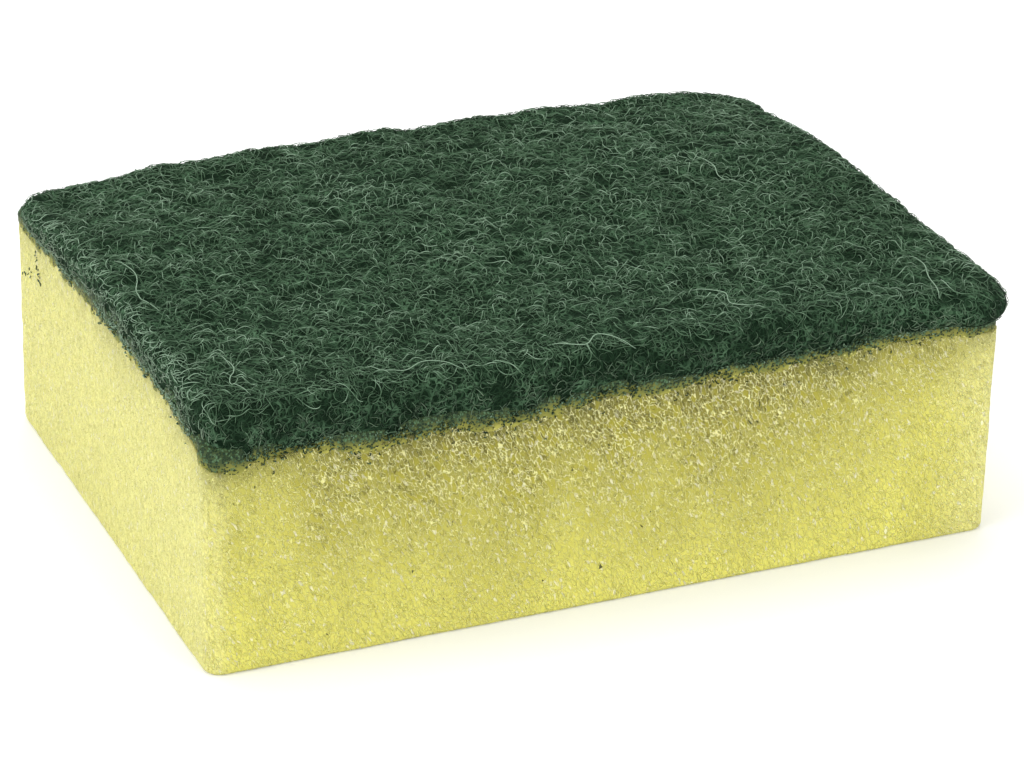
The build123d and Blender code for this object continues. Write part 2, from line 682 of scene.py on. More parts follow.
@dataclass
class FoamBlock:
    """The foam block: a closed skin of loops round its outline, pitted with open cells."""

    seam: Seam
    corner_radius: float = 2.1 * MM
    swell: float = 0.35 * MM
    base_rounding: float = 0.6 * MM
    cell_size: float = 0.55 * MM
    cell_lean: float = 0.38
    pit_depth: float = 0.26 * MM
    side_rows: int = 86
    columns: tuple[int, int, int, int] = (344, 196, 250, 229)
    box: tuple = field(default_factory=lambda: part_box("foam_block"))

    @property
    def length_x(self) -> float:
        """The block's length, swollen a little."""
        return self.box[1].x - self.box[0].x + 2.0 * self.swell

    @property
    def length_y(self) -> float:
        """The block's width, swollen a little."""
        return self.box[1].y - self.box[0].y + 2.0 * self.swell

    def shares(self) -> np.ndarray:
        """Where the columns stand round the outline: closest at the front and on the left."""
        ends = np.cumsum([0.0, self.length_x, self.length_y, self.length_x, self.length_y])
        runs = [np.arange(n) / n * (ends[k + 1] - ends[k]) + ends[k] for k, n in enumerate(self.columns)]
        return np.concatenate(runs) / ends[-1]

    def profile(self) -> np.ndarray:
        """The skin's section from under the block to its top.

        Each row is how much of the outline's size is kept, how far it is then offset, its
        height, and how far its normal is raised from level as a share of a right angle.
        """
        height = self.box[1].z
        r = self.base_rounding
        under = [(k, -r * k, 0.0, -1.0) for k in (0.15, 0.4, 0.65, 0.85, 0.97, 1.0)]
        turn = [(1.0, -r + r * math.sin(t), r - r * math.cos(t), t / (math.pi / 2) - 1.0)
                for t in (math.pi / 6, math.pi / 3)]
        side = [(1.0, 0.0, z, 0.0) for z in np.linspace(r, height, self.side_rows)]
        top = [(k, 0.0, height, 1.0) for k in (0.97, 0.5)]
        return np.array(under + turn + side + top)

    def openness_and_shade(self, points: np.ndarray, normals: np.ndarray) -> np.ndarray:
        """How open the cut cells are: most in the upper part of the front, least near the base.

        The share is a level for each face, raised with height on the front, and lowered within
        a quarter of the way in from each end of the front by a smooth step. It deepens the pits, and
        in the colour it is partly painted shade, darker towards the pad above, and partly painted
        light, paler towards the front's two ends.
        """
        front = smooth(0.45, 0.85, -normals[:, 1])
        left = smooth(0.45, 0.85, -normals[:, 0])
        rise = np.clip(points[:, 2] / self.box[1].z, 0.0, 1.0)
        x = points[:, 0] / (self.length_x / 2)
        lumps = Lumps(6 * MM, 6).at(points * (1.0, 1.0, 0.7))
        start = smooth(-1.0, -0.66, x + 0.05 * lumps)
        end = 1.0 - smooth(0.30, 0.95, x + 0.06 * lumps) * (1.0 - 0.25 * smooth(0.6, 1.0, rise))
        on_front = (0.06 + 0.94 * rise) * (0.40 + 0.60 * start) * (0.32 + 0.68 * end)
        others = 0.10 + 0.42 * rise
        on_left = 0.06 + 0.16 * rise
        amount = front * on_front + (1.0 - front) * (left * on_left + (1.0 - left) * others)
        return np.clip(amount + 0.10 * lumps * (0.3 + front), 0.02, 1.0)

    def painted_light(self, points: np.ndarray, normals: np.ndarray) -> np.ndarray:
        """Painted light: how pale and smooth the skin is painted, on the lit left face and along the two front
        corners.
        """
        front = smooth(0.55, 0.98, -normals[:, 1])
        left = smooth(0.45, 0.9, -normals[:, 0])
        x = points[:, 0] / (self.length_x / 2)
        lumps = Lumps(5 * MM, 8).at(points)
        near = 1.0 - smooth(-0.995, -0.93, x + 0.012 * lumps)
        far = smooth(0.80, 0.99, x + 0.03 * lumps) * 0.95
        skin = np.maximum(left * 0.92, front * (near + far))
        return np.clip(skin + (1.0 - front) * (1.0 - left) * 0.35, 0.0, 1.0)

    def soiling_and_shade(self, points: np.ndarray, height: np.ndarray) -> np.ndarray:
        """How stained the foam is with glue, with painted shade from the pad above, fading over a few
        millimetres below its top.
        """
        below = (self.box[1].z - height) / MM
        lumps = Lumps(1.4 * MM, 9).at(points) * 0.5 + Lumps(5.0 * MM, 10).at(points) * 0.5
        ends = 1.0 - 0.35 * smooth(0.480, 0.494, np.abs(points[:, 0]) / self.length_x)
        return np.clip(np.exp(-below / 2.4) * (0.60 + 0.6 * lumps) * ends, 0.0, 1.0)

    def build(self) -> bpy.types.Object:
        """Builds the foam: each loop is the outline scaled and offset, then pitted inwards.

        Returns:
            The foam piece.
        """
        outline = Outline(self.length_x / 2, self.length_y / 2, self.corner_radius)
        centre, normal = outline.points(self.shares())
        profile = self.profile()
        keep, offset, height, lift = (profile[:, k, None] for k in range(4))
        plan = keep[..., None] * centre[None]
        plan = plan + (keep * self.corner_radius + offset)[..., None] * normal[None]
        tall = np.broadcast_to(height, plan.shape[:2]).ravel()
        level = np.cos(lift * math.pi / 2)[..., None] * normal[None]
        upward = np.broadcast_to(np.sin(lift * math.pi / 2)[..., None], plan.shape[:2] + (1,))
        normals = np.concatenate([level, upward], axis=-1).reshape(-1, 3)
        rows, columns = plan.shape[:2]
        plan = plan.reshape(-1, 2)
        stretch = 1.0 + (self.seam.rise(plan) / self.box[1].z) * smooth(0.3, 1.0, tall / self.box[1].z)
        points = np.concatenate([plan, (tall * stretch)[:, None]], axis=-1)
        place = self.cell_place(points)
        distance, numbers = CellSeeds.walls(place)
        openness_and_shade = self.openness_and_shade(points, normals)
        pit = smooth(0.02, 0.34, distance) * (0.35 + 0.65 * numbers[:, 0])
        hidden = smooth(0.5, 1.0, np.abs(normals[:, 2]))
        hollow = 0.07 * MM * Lumps(3.2 * MM, 7).at(points) + 0.06 * MM * Lumps(1.1 * MM, 12).at(points)
        inward = pit * openness_and_shade * self.pit_depth + hollow
        soft = self.box_sag(points)
        points = points - normals * ((inward + soft) * (1.0 - hidden))[:, None]
        values = {"cell_place": place, "openness_and_shade": openness_and_shade, "painted_light": self.painted_light(points, normals),
                  "soiling_and_shade": self.soiling_and_shade(points, tall)}
        points = np.vstack([points, (0, 0, 0), (0, 0, self.box[1].z)])
        values = {key: np.concatenate([value, value[:1], value[-1:]]) for key, value in values.items()}
        count = rows * columns
        faces = [ring_faces(rows, columns), fan_faces(count, 0, columns, False),
                 fan_faces(count + 1, count - columns, columns, True)]
        piece = mesh_piece("foam_body", points, faces, self.bake_maps(points, faces, columns), values)
        piece.data.materials.append(FoamFinish().material())
        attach(piece, BODY)
        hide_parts("foam_block")
        return piece

    def box_sag(self, points: np.ndarray) -> np.ndarray:
        """How far the soft sides draw in between their corners: a flat parabola along each side."""
        x = points[:, 0] / (self.length_x / 2)
        y = points[:, 1] / (self.length_y / 2)
        middle = np.minimum(1.0 - np.minimum(x ** 2, y ** 2), 1.0)
        rise = np.clip(points[:, 2] / self.box[1].z, 0.0, 1.0)
        return 0.30 * MM * middle * (4.0 * rise * (1.0 - rise))

    def cell_place(self, points: np.ndarray) -> np.ndarray:
        """Where points lie among the cells, in cell sizes.

        The cells are taller than wide and lean to the left, and a slow drift bends their rows.
        """
        drift = np.stack([Lumps(3.5 * MM, 11 + k).at(points) for k in range(3)], axis=-1) * 0.4 * MM
        moved = points + drift
        lean = np.stack([moved[:, 0] + self.cell_lean * moved[:, 2], moved[:, 1], 0.52 * moved[:, 2]], axis=-1)
        return lean / self.cell_size + 180.0

    def bake_maps(self, points: np.ndarray, faces: list[np.ndarray], columns: int) -> list[np.ndarray]:
        """Lays the skin out for baking: four side strips in the lower part, the caps above.

        Args:
            points: the vertices.
            faces: the ring, bottom fan and top fan.
            columns: how many vertices a loop has.

        Returns:
            The map's places for each array of faces.
        """
        low, high = points.min(axis=0), points.max(axis=0)
        span = high - low
        ring = faces[0]
        side = np.searchsorted(np.cumsum(self.columns), ring[:, 0] % columns, side="right")
        spot = (points[ring] - low) / span
        along = np.where((side % 2 == 0)[:, None], spot[..., 0], spot[..., 1])
        strip = 0.005 + 0.17 * (side[:, None] + 0.94 * np.clip(spot[..., 2], 0.0, 1.0))
        maps = np.stack([0.005 + 0.99 * along, strip], axis=-1)
        row = ring[:, 0] // columns
        caps = (row < 5) | (row >= self.side_rows + 7)
        cap = np.stack([0.01 + 0.45 * spot[..., 0], 0.70 + 0.28 * spot[..., 1]], axis=-1)
        cap[..., 0] += 0.5 * (row > 5)[:, None]
        maps[caps] = cap[caps]
        fans = []
        for index, shift in ((1, 0.0), (2, 0.5)):
            at = (points[faces[index]] - low) / span
            fans.append(np.stack([0.01 + shift + 0.45 * at[..., 0], 0.70 + 0.28 * at[..., 1]], axis=-1))
        return [maps, *fans]


# ---------------------------------------------------------------- the pad


@dataclass
class PadForm:
    """The pad's shape, as a flat sheet that is wrapped over the slab's edge.

    Inside an inset outline the sheet lies on top. Further out it rolls down through a quarter
    turn and then hangs straight, so any pattern drawn on the sheet follows the pad's skin.
    """

    seam: Seam
    corner_radius: float = 5.4 * MM
    roll: float = 2.6 * MM
    foot: float = 0.45 * MM
    box: tuple = field(default_factory=lambda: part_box("scouring_pad"))

    @property
    def half_x(self) -> float:
        """Half the pad's length."""
        return (self.box[1].x - self.box[0].x) / 2

    @property
    def half_y(self) -> float:
        """Half the pad's width."""
        return (self.box[1].y - self.box[0].y) / 2

    @property
    def drop(self) -> float:
        """How far the sheet's edge lies from the inset outline, measured on the sheet."""
        return math.pi / 2 * self.roll + (self.box[1].z - self.box[0].z - self.roll)

    @property
    def inset(self) -> Outline:
        """The outline inside which the sheet lies on top."""
        return Outline(self.half_x - self.roll, self.half_y - self.roll, self.corner_radius - self.roll)

    def spread(self, sheet: np.ndarray) -> tuple[np.ndarray, np.ndarray, np.ndarray]:
        """How far points of the sheet lie outside the inset outline.

        Args:
            sheet: points on the flat sheet.

        Returns:
            The distance outside, the nearest point of the outline, and the outward direction.
        """
        inset = self.inset
        core = np.array([inset.half_x, inset.half_y]) - inset.radius
        corner = np.sign(sheet) * core
        reach = np.maximum(np.abs(sheet) - core, 0.0)
        outward = unit(np.sign(sheet) * reach + 1e-15)
        distance = np.linalg.norm(reach, axis=-1) - inset.radius
        base = np.where(np.abs(sheet) > core, corner, sheet) + inset.radius * outward
        return distance, base, outward

    def sink(self, plan: np.ndarray) -> np.ndarray:
        """How far the pad's top lies below the slab's: most at the two back corners, with lumps."""
        x, y = plan[..., 0] / MM, plan[..., 1] / MM
        flat = np.concatenate([plan, np.zeros(plan.shape[:-1] + (1,))], axis=-1)
        back = smooth(8.0, 34.0, y)
        corner_left = smooth(0.0, 1.0, 1.0 - np.hypot((x + 50.0) / 26.0, (y - 36.0) / 40.0))
        corner_right = smooth(0.0, 1.0, 1.0 - np.hypot((x - 50.0) / 22.0, (y - 36.0) / 34.0))
        edge = Seam.joined(x, self.BACK_X, self.BACK_SINK) * back
        uneven = 0.22 * Lumps(13 * MM, 21).at(flat) + 0.12 * Lumps(5 * MM, 22).at(flat)
        near_right = smooth(0.0, 1.0, 1.0 - np.hypot((x - 51.0) / 24.0, (y + 36.0) / 34.0))
        right_edge = 0.45 * smooth(38.0, 50.0, x) * smooth(-30.0, -5.0, y)
        corners = 1.1 * corner_left + 1.1 * corner_right + 0.9 * near_right + 0.7 * right_edge
        return (0.2 + edge + corners + uneven * (1.0 - 0.7 * back)) * MM

    BACK_X = (-50.0, -41.0, -32.0, -26.0, -20.0, -13.0, -6.0, -2.0, 2.0, 9.0, 17.0, 21.0, 28.0, 33.0, 40.0, 50.0)
    BACK_SINK = (1.5, 1.7, 1.1, 1.5, 0.95, 1.3, 0.7, 0.75, 1.5, 0.95, 1.4, 1.1, 1.7, 1.1, 1.1, 1.9)

    def bulge(self, plan: np.ndarray) -> np.ndarray:
        """How far the pad's side stands out past the slab: most at the front-right corner."""
        x, y = plan[..., 0] / MM, plan[..., 1] / MM
        flat = np.concatenate([plan, np.zeros(plan.shape[:-1] + (1,))], axis=-1)
        right = smooth(0.0, 1.0, 1.0 - np.hypot((x - 51.0) / 22.0, (y + 33.0) / 40.0))
        left = smooth(0.0, 1.0, 1.0 - np.hypot((x + 51.0) / 20.0, (y - 36.0) / 30.0))
        return (0.15 + 2.0 * right + 0.6 * left + 0.25 * Lumps(9 * MM, 23).at(flat)) * MM

    def relief(self, sheet: np.ndarray) -> np.ndarray:
        """Hollows and tufts of the felt, in metres along the normal.

        Slow lumps stretched along the pad, less a smooth step of a finer noise where it is well
        below nought, which leaves narrow hollows between tufts.
        """
        flat = np.concatenate([sheet, np.zeros(sheet.shape[:-1] + (1,))], axis=-1)
        slow = Lumps(4.6 * MM, 31).at(flat * (0.6, 1.0, 1.0))
        tufts = Lumps(1.7 * MM, 32).at(flat * (0.6, 1.0, 1.0))
        hollow = smooth(0.1, 0.75, -tufts) * 0.42 + smooth(0.15, 0.8, -slow) * 0.32
        return (0.15 * slow - hollow) * MM

    def wrap(self, sheet: np.ndarray, lift: np.ndarray | float = 0.0) -> tuple[np.ndarray, np.ndarray]:
        """Wraps points of the sheet over the pad.

        Past the inset outline, a point at distance d is turned by d over the roll radius, up to
        a right angle, and then hangs straight down to the seam. The side then swells by the
        sine of its share of the way down.

        Args:
            sheet: points on the flat sheet.
            lift: how far above the skin each point is.

        Returns:
            The points and the outward normals.
        """
        distance, base, outward = self.spread(sheet)
        angle = np.clip(distance / self.roll, 0.0, math.pi / 2)
        hang = np.maximum(distance - math.pi / 2 * self.roll, 0.0)
        outside = (distance > 0.0)[..., None]
        plan = np.where(outside, base + (self.roll * np.sin(angle))[..., None] * outward, sheet)
        thickness = self.box[1].z - self.box[0].z
        share = 1.0 - (self.roll * (1.0 - np.cos(angle)) + hang) / thickness
        top = self.box[1].z - self.sink(plan)
        foot = self.box[0].z + self.seam.rise(plan) + self.foot
        height = foot + (top - foot) * share
        level = np.where(outside, outward * np.sin(angle)[..., None], 0.0)
        normal = np.concatenate([level, np.where(outside, np.cos(angle)[..., None], 1.0)], axis=-1)
        swell = self.bulge(plan) * np.sin(math.pi * np.clip(distance / self.drop, 0.0, 1.0) ** 2.0)
        plan = plan + swell[..., None] * np.where(outside, outward, 0.0)
        calm = 1.0 - 0.5 * smooth(-1.5 * MM, 1.5 * MM, distance)
        rise = (self.relief(sheet) * calm + lift * calm)[..., None]
        return np.concatenate([plan, height[..., None]], axis=-1) + rise * normal, normal


@dataclass
class PadBody:
    """The pad's dense felt: a grid on top, loops down its side, and a flat underside."""

    form: PadForm
    below: float = 0.42 * MM
    top_cells: tuple[int, int] = (204, 144)
    side_rows: int = 22

    def build(self) -> bpy.types.Object:
        """Builds the felt: the grid's square edge is drawn in to the rounded inset outline.

        Returns:
            The felt piece.
        """
        nx, ny = self.top_cells
        inset = self.form.inset
        u, v = np.meshgrid(np.linspace(-1, 1, nx + 1), np.linspace(-1, 1, ny + 1), indexing="xy")
        square = np.stack([u * inset.half_x, v * inset.half_y], axis=-1)
        top = self.rounded(square, inset)
        index = np.arange((nx + 1) * (ny + 1)).reshape(ny + 1, nx + 1)
        edge = np.concatenate([index[0, :-1], index[:-1, -1], index[-1, :0:-1], index[:0:-1, 0]])
        columns = len(edge)
        rim = top.reshape(-1, 2)[edge]
        outward = self.form.spread(rim * 1.0005)[2]
        steps = np.linspace(0.0, 1.0, self.side_rows + 1)[1:] * self.form.drop
        loops = rim[None] + steps[:, None, None] * outward[None]
        sheet = np.concatenate([top.reshape(-1, 2), loops.reshape(-1, 2)])
        points, _ = self.form.wrap(sheet, -self.below)
        last = points[-columns:]
        floor = self.form.box[0].z - 0.3 * MM
        tucks = [np.concatenate([last[:, :2] * k, np.full((columns, 1), floor)], axis=-1) for k in (0.97, 0.6)]
        points = np.vstack([points, *tucks, (0.0, 0.0, floor)])
        cell = np.stack([index[:-1, :-1], index[:-1, 1:], index[1:, 1:], index[1:, :-1]], axis=-1)
        chain = index.size + np.arange(columns * (self.side_rows + 2)).reshape(-1, columns)
        chain = np.concatenate([edge[None], chain])
        after = np.roll(chain, -1, axis=1)
        band = np.stack([chain[1:], after[1:], after[:-1], chain[:-1]], axis=-1)
        faces = [cell.reshape(-1, 4), band.reshape(-1, 4),
                 fan_faces(len(points) - 1, chain[-1, 0], columns, False)]
        piece = mesh_piece("scouring_felt", points, faces, self.bake_maps(points, faces, columns))
        piece.data.materials.append(FeltFinish().material())
        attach(piece, BODY)
        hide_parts("scouring_pad")
        return piece

    @staticmethod
    def rounded(square: np.ndarray, outline: Outline) -> np.ndarray:
        """Draws the corners of a square grid in to an outline's arcs.

        In a corner, offsets p and q from the arc's centre become p times the root of
        1 - q² / 2r², and q times the root of 1 - p² / 2r².
        """
        core = np.array([outline.half_x, outline.half_y]) - outline.radius
        over = np.maximum(np.abs(square) - core, 0.0)
        other = over[..., ::-1]
        drawn = over * np.sqrt(1.0 - other ** 2 / (2.0 * outline.radius ** 2))
        return np.where(over > 0.0, np.sign(square) * (core + drawn), square)

    def bake_maps(self, points: np.ndarray, faces: list[np.ndarray], columns: int) -> list[np.ndarray]:
        """Lays the top out flat, the side as four strips above it, and the underside small."""
        low, high = points.min(axis=0), points.max(axis=0)
        spot = (points - low) / (high - low)
        top = np.stack([0.005 + 0.99 * spot[faces[0]][..., 0], 0.005 + 0.68 * spot[faces[0]][..., 1]], axis=-1)
        nx, ny = self.top_cells
        band_column = np.tile(np.arange(columns), self.side_rows + 2)
        band_row = np.repeat(np.arange(self.side_rows + 2), columns)
        starts = np.cumsum([0, nx, ny, nx, ny])
        run = np.searchsorted(starts, band_column, side="right") - 1
        along = (band_column - starts[run])[:, None] + np.array([0, 1, 1, 0])
        depth = (band_row[:, None] + np.array([1, 1, 0, 0])) / (self.side_rows + 2)
        band = np.stack([0.005 + 0.98 * along / nx, 0.70 + 0.065 * (run[:, None] + 0.94 * depth)], axis=-1)
        under = np.stack([0.3 + 0.06 * spot[faces[2]][..., 0], 0.96 + 0.035 * spot[faces[2]][..., 1]], axis=-1)
        return [top, band, under]


class Lie(Enum):
    """How a family of fibres lies."""

    FLAT = "on the top"
    SIDE = "round the rolled edge and down the side"
    SEAM = "cut short along the seam"


@dataclass
class FibreFamily:
    """Curly fibres of one kind: thin closed tubes with three sides."""

    name: str
    form: PadForm
    lie: Lie
    count: int
    seed: int
    segments: int = 10
    step: float = 0.37 * MM
    radius: float = 0.047 * MM
    curl: float = 2.0 * MM
    middle: float = -0.05 * MM
    swing: float = 0.24 * MM
    light: float = 0.0

    def starts(self, rng: np.random.Generator) -> tuple[np.ndarray, np.ndarray]:
        """Where the fibres start on the sheet, and which way they head."""
        form = self.form
        heading = rng.uniform(0.0, 2 * math.pi, self.count)
        if self.lie is Lie.FLAT:
            half = np.array([form.half_x, form.half_y]) - form.roll * 0.2
            return rng.uniform(-1.0, 1.0, (self.count, 2)) * half, heading
        centre, normal = form.inset.points(rng.random(self.count))
        rim = centre + form.inset.radius * normal
        if self.lie is Lie.SIDE:
            reach = rng.uniform(0.0, form.drop, self.count)
        else:
            reach = form.drop + (rng.gamma(1.6, 0.55, self.count) - 0.7) * MM
        return rim + reach[:, None] * normal, heading

    def paths(self, rng: np.random.Generator) -> tuple[np.ndarray, np.ndarray]:
        """The fibres' paths on the sheet and their lift above it.

        A fibre's heading turns by its step over a radius that swings about the curl radius, to
        either hand. Its lift is a sine wave about a middle level, as steep as the fibre is long,
        and dives into the felt at both ends.

        Returns:
            Points on the sheet and lifts, one row a fibre.
        """
        start, heading = self.starts(rng)
        n, m = self.count, self.segments
        t = np.linspace(0.0, 1.0, m + 1)[None]
        reach = m * self.step / (3.2 * MM)
        hand = rng.choice([-1.0, 1.0], (n, 1))
        waves = rng.uniform(0.4, 1.3, (n, 1)) * reach
        bend = hand * rng.gamma(1.4, 0.5, (n, 1)) + 1.1 * np.sin(2 * math.pi * (t * waves + rng.random((n, 1))))
        angle = heading[:, None] + np.cumsum(bend * self.step / self.curl, axis=1)
        move = self.step * np.stack([np.cos(angle), np.sin(angle)], axis=-1)
        path = start[:, None] + np.cumsum(move, axis=1) - 0.5 * move.sum(axis=1, keepdims=True)
        pitch = rng.uniform(0.6, 1.6, (n, 1)) * reach
        wave = np.sin(2 * math.pi * (t * pitch + rng.random((n, 1))))
        size = self.swing * rng.uniform(0.5, 1.2, (n, 1))
        ends = smooth(0.0, 0.16, np.minimum(t, 1.0 - t))
        low = self.middle + rng.normal(0.0, 0.08 * MM, (n, 1))
        lift = (low + size * wave) * ends - (1.0 - ends) * 0.45 * MM
        return path, lift

    def build(self, finish: FibreFinish) -> bpy.types.Object:
        """Builds the tubes: rings of three points about each path, square to it, and two caps.

        Args:
            finish: the fibres' finish.

        Returns:
            The fibre piece.
        """
        rng = np.random.default_rng(self.seed)
        path, lift = self.paths(rng)
        line, normal = self.form.wrap(path, lift)
        along = unit(np.gradient(line, axis=1))
        across = unit(np.cross(along, normal))
        upward = np.cross(across, along)
        turns = np.arange(3) * 2 * math.pi / 3
        size = (self.radius * rng.uniform(0.75, 1.25, self.count))[:, None, None, None]
        ring = np.cos(turns)[:, None] * across[:, :, None] + np.sin(turns)[:, None] * upward[:, :, None]
        points = (line[:, :, None] + size * ring).reshape(-1, 3)
        n, m = self.count, self.segments
        base = np.arange(n)[:, None, None] * (m + 1) * 3 + np.arange(m)[None, :, None] * 3
        k = np.arange(3)[None, None]
        after = (k + 1) % 3
        quads = np.stack([base + k, base + after, base + 3 + after, base + 3 + k], axis=-1)
        first = np.arange(n)[:, None] * (m + 1) * 3
        caps = np.concatenate([first + (2, 1, 0), first + m * 3 + (0, 1, 2)])
        shade = np.repeat(self.shades(rng, lift, line), 3, axis=1).ravel()
        grey = np.repeat(self.greys(rng, path), 3, axis=1).ravel()
        piece = mesh_piece(self.name, points, [quads.reshape(-1, 4), caps], self.bake_maps(),
                           {"shade": shade, "greyness": grey})
        piece.data.materials.append(finish.material())
        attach(piece, BODY)
        return piece

    def shades(self, rng: np.random.Generator, lift: np.ndarray, line: np.ndarray) -> np.ndarray:
        """How light each point of each fibre is: a value of its own, painted shade where it lies deep or dives,
        and painted light on the pad's left side.
        """
        own = rng.beta(2.0, 2.2, (self.count, 1))
        patch = 0.16 * Lumps(6.0 * MM, 61).at(line)
        # painted shade: a fibre is darker the deeper it lies, and darkest where it dives into the felt
        height = (lift - self.middle) / self.swing
        # painted light: fibres on the pad's left side, which faces the key lamp, are made lighter
        west = 0.46 * smooth(48.2, 49.8, -line[..., 0] / MM)
        return np.clip(0.50 + self.light + 0.45 * (own - 0.5) + 0.20 * height + patch + west, 0.0, 1.0)

    def greys(self, rng: np.random.Generator, path: np.ndarray) -> np.ndarray:
        """How grey each point of each fibre is: more towards the pad's cut side."""
        distance = self.form.spread(path)[0] / self.form.drop
        own = rng.uniform(0.2, 1.0, (self.count, 1))
        most = 0.15 if self.lie is Lie.SEAM else 1.0
        return np.clip(0.08 + smooth(0.30, 0.75, distance) * own * most, 0.0, 1.0)

    def bake_maps(self) -> list[np.ndarray]:
        """Gives each fibre its own small square of the bake map, its caps at the square's ends."""
        n, m = self.count, self.segments
        side = math.ceil(math.sqrt(n))
        cell = np.stack([np.arange(n) % side, np.arange(n) // side], axis=-1) / side
        k = np.arange(3)
        j = np.arange(m)
        right = (k[None, :, None] + np.array([0, 1, 1, 0])) / 3.0 + np.zeros((m, 1, 1))
        up = (j[:, None, None] + np.array([0, 0, 1, 1])) / m + np.zeros((1, 3, 1))
        quad = np.stack([right, up], axis=-1).reshape(-1, 4, 2)
        quads = cell[:, None] + (0.08 + 0.80 * quad[None].reshape(1, -1, 2)) / side
        cap = np.array([(0.10, 0.90), (0.30, 0.90), (0.20, 0.97)]) / side
        caps = np.concatenate([cell[:, None] + cap, cell[:, None] + cap + (0.4 / side, 0.0)])
        return [quads.reshape(-1, 4, 2), caps]


# ---------------------------------------------------------------- the glue


@dataclass
class GlueLine:
    """Glue soaked into the pad's foot: a lumpy band between the foam and the felt."""

    seam: Seam
    columns: int = 1060
    corner_radius: float = 2.6 * MM
    swell: float = 0.35 * MM
    foam_box: tuple = field(default_factory=lambda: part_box("foam_block"))
    film_box: tuple = field(default_factory=lambda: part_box("adhesive_layer"))

    ROWS = ((-1.6, -1.5), (-0.5, -1.2), (-0.12, -0.85), (0.0, -0.5), (0.05, -0.15), (0.08, 0.2), (0.1, 0.55),
            (0.1, 0.9), (0.08, 1.25), (0.02, 1.6), (-0.2, 2.0), (-0.8, 2.4), (-2.0, 2.6))

    def build(self) -> bpy.types.Object:
        """Builds the band: loops at the rows' offsets and rises, roughened by noise of two sizes.

        Returns:
            The glue piece.
        """
        half_x, half_y = self.foam_box[1].x + self.swell, self.foam_box[1].y + self.swell
        share = np.arange(self.columns) / self.columns
        centre, normal = Outline(half_x, half_y, self.corner_radius).points(share)
        rim = centre + self.corner_radius * normal
        lift = self.seam.rise(rim)
        rows = np.array(self.ROWS) * MM
        offset = rows[:, None, 0] + self.corner_radius
        plan = centre[None] + offset[..., None] * normal[None]
        height = self.film_box[0].z + lift[None] + rows[:, None, 1]
        points = np.concatenate([plan, height[..., None]], axis=-1)
        rough = 0.20 * Lumps(1.2 * MM, 43).at(points) + 0.12 * Lumps(0.6 * MM, 44).at(points)
        rough = rough + 0.12 * Lumps(4.0 * MM, 45).at(points) - 0.05
        fade = smooth(-1.2, -0.3, rows[:, 0] / MM)[:, None]
        points[..., :2] += (rough * fade * MM)[..., None] * normal[None]
        rise = np.broadcast_to(np.linspace(-0.15, 1.0, len(rows))[:, None], height.shape).ravel()
        count = len(rows) * self.columns
        middle = self.film_box[0].z
        points = np.vstack([points.reshape(-1, 3), (0, 0, middle - 1.3 * MM), (0, 0, middle + 2.6 * MM)])
        faces = [ring_faces(len(rows), self.columns), fan_faces(count, 0, self.columns, False),
                 fan_faces(count + 1, count - self.columns, self.columns, True)]
        piece = mesh_piece("glue_line", points, faces, self.bake_maps(faces),
                           {"rise": np.concatenate([rise, (0.0, 1.0)])})
        piece.data.materials.append(GlueFinish().material())
        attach(piece, BODY)
        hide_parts("adhesive_layer")
        return piece

    def bake_maps(self, faces: list[np.ndarray]) -> list[np.ndarray]:
        """Lays the band out as eight strips one above the other, and its hidden caps beside them."""
        strips = 8
        n = self.columns
        column = faces[0][:, 0] % n
        row = faces[0][:, 0] // n
        run = column * strips // n
        along = (column[:, None] + np.array([0, 1, 1, 0])) * strips / n - run[:, None]
        up = (row[:, None] + np.array([0, 0, 1, 1])) / (len(self.ROWS) - 1)
        band = np.stack([0.005 + 0.95 * along, (run[:, None] + 0.04 + 0.92 * up) / strips], axis=-1)
        turn = 2 * math.pi * np.arange(n) / n
        rim = np.stack([np.cos(turn), np.sin(turn)], axis=-1) * 0.008
        fan = np.stack([np.zeros_like(rim), rim, np.roll(rim, -1, axis=0)], axis=1)
        return [band, fan + (0.985, 0.25), fan + (0.985, 0.75)]


# ---------------------------------------------------------------- stray bits


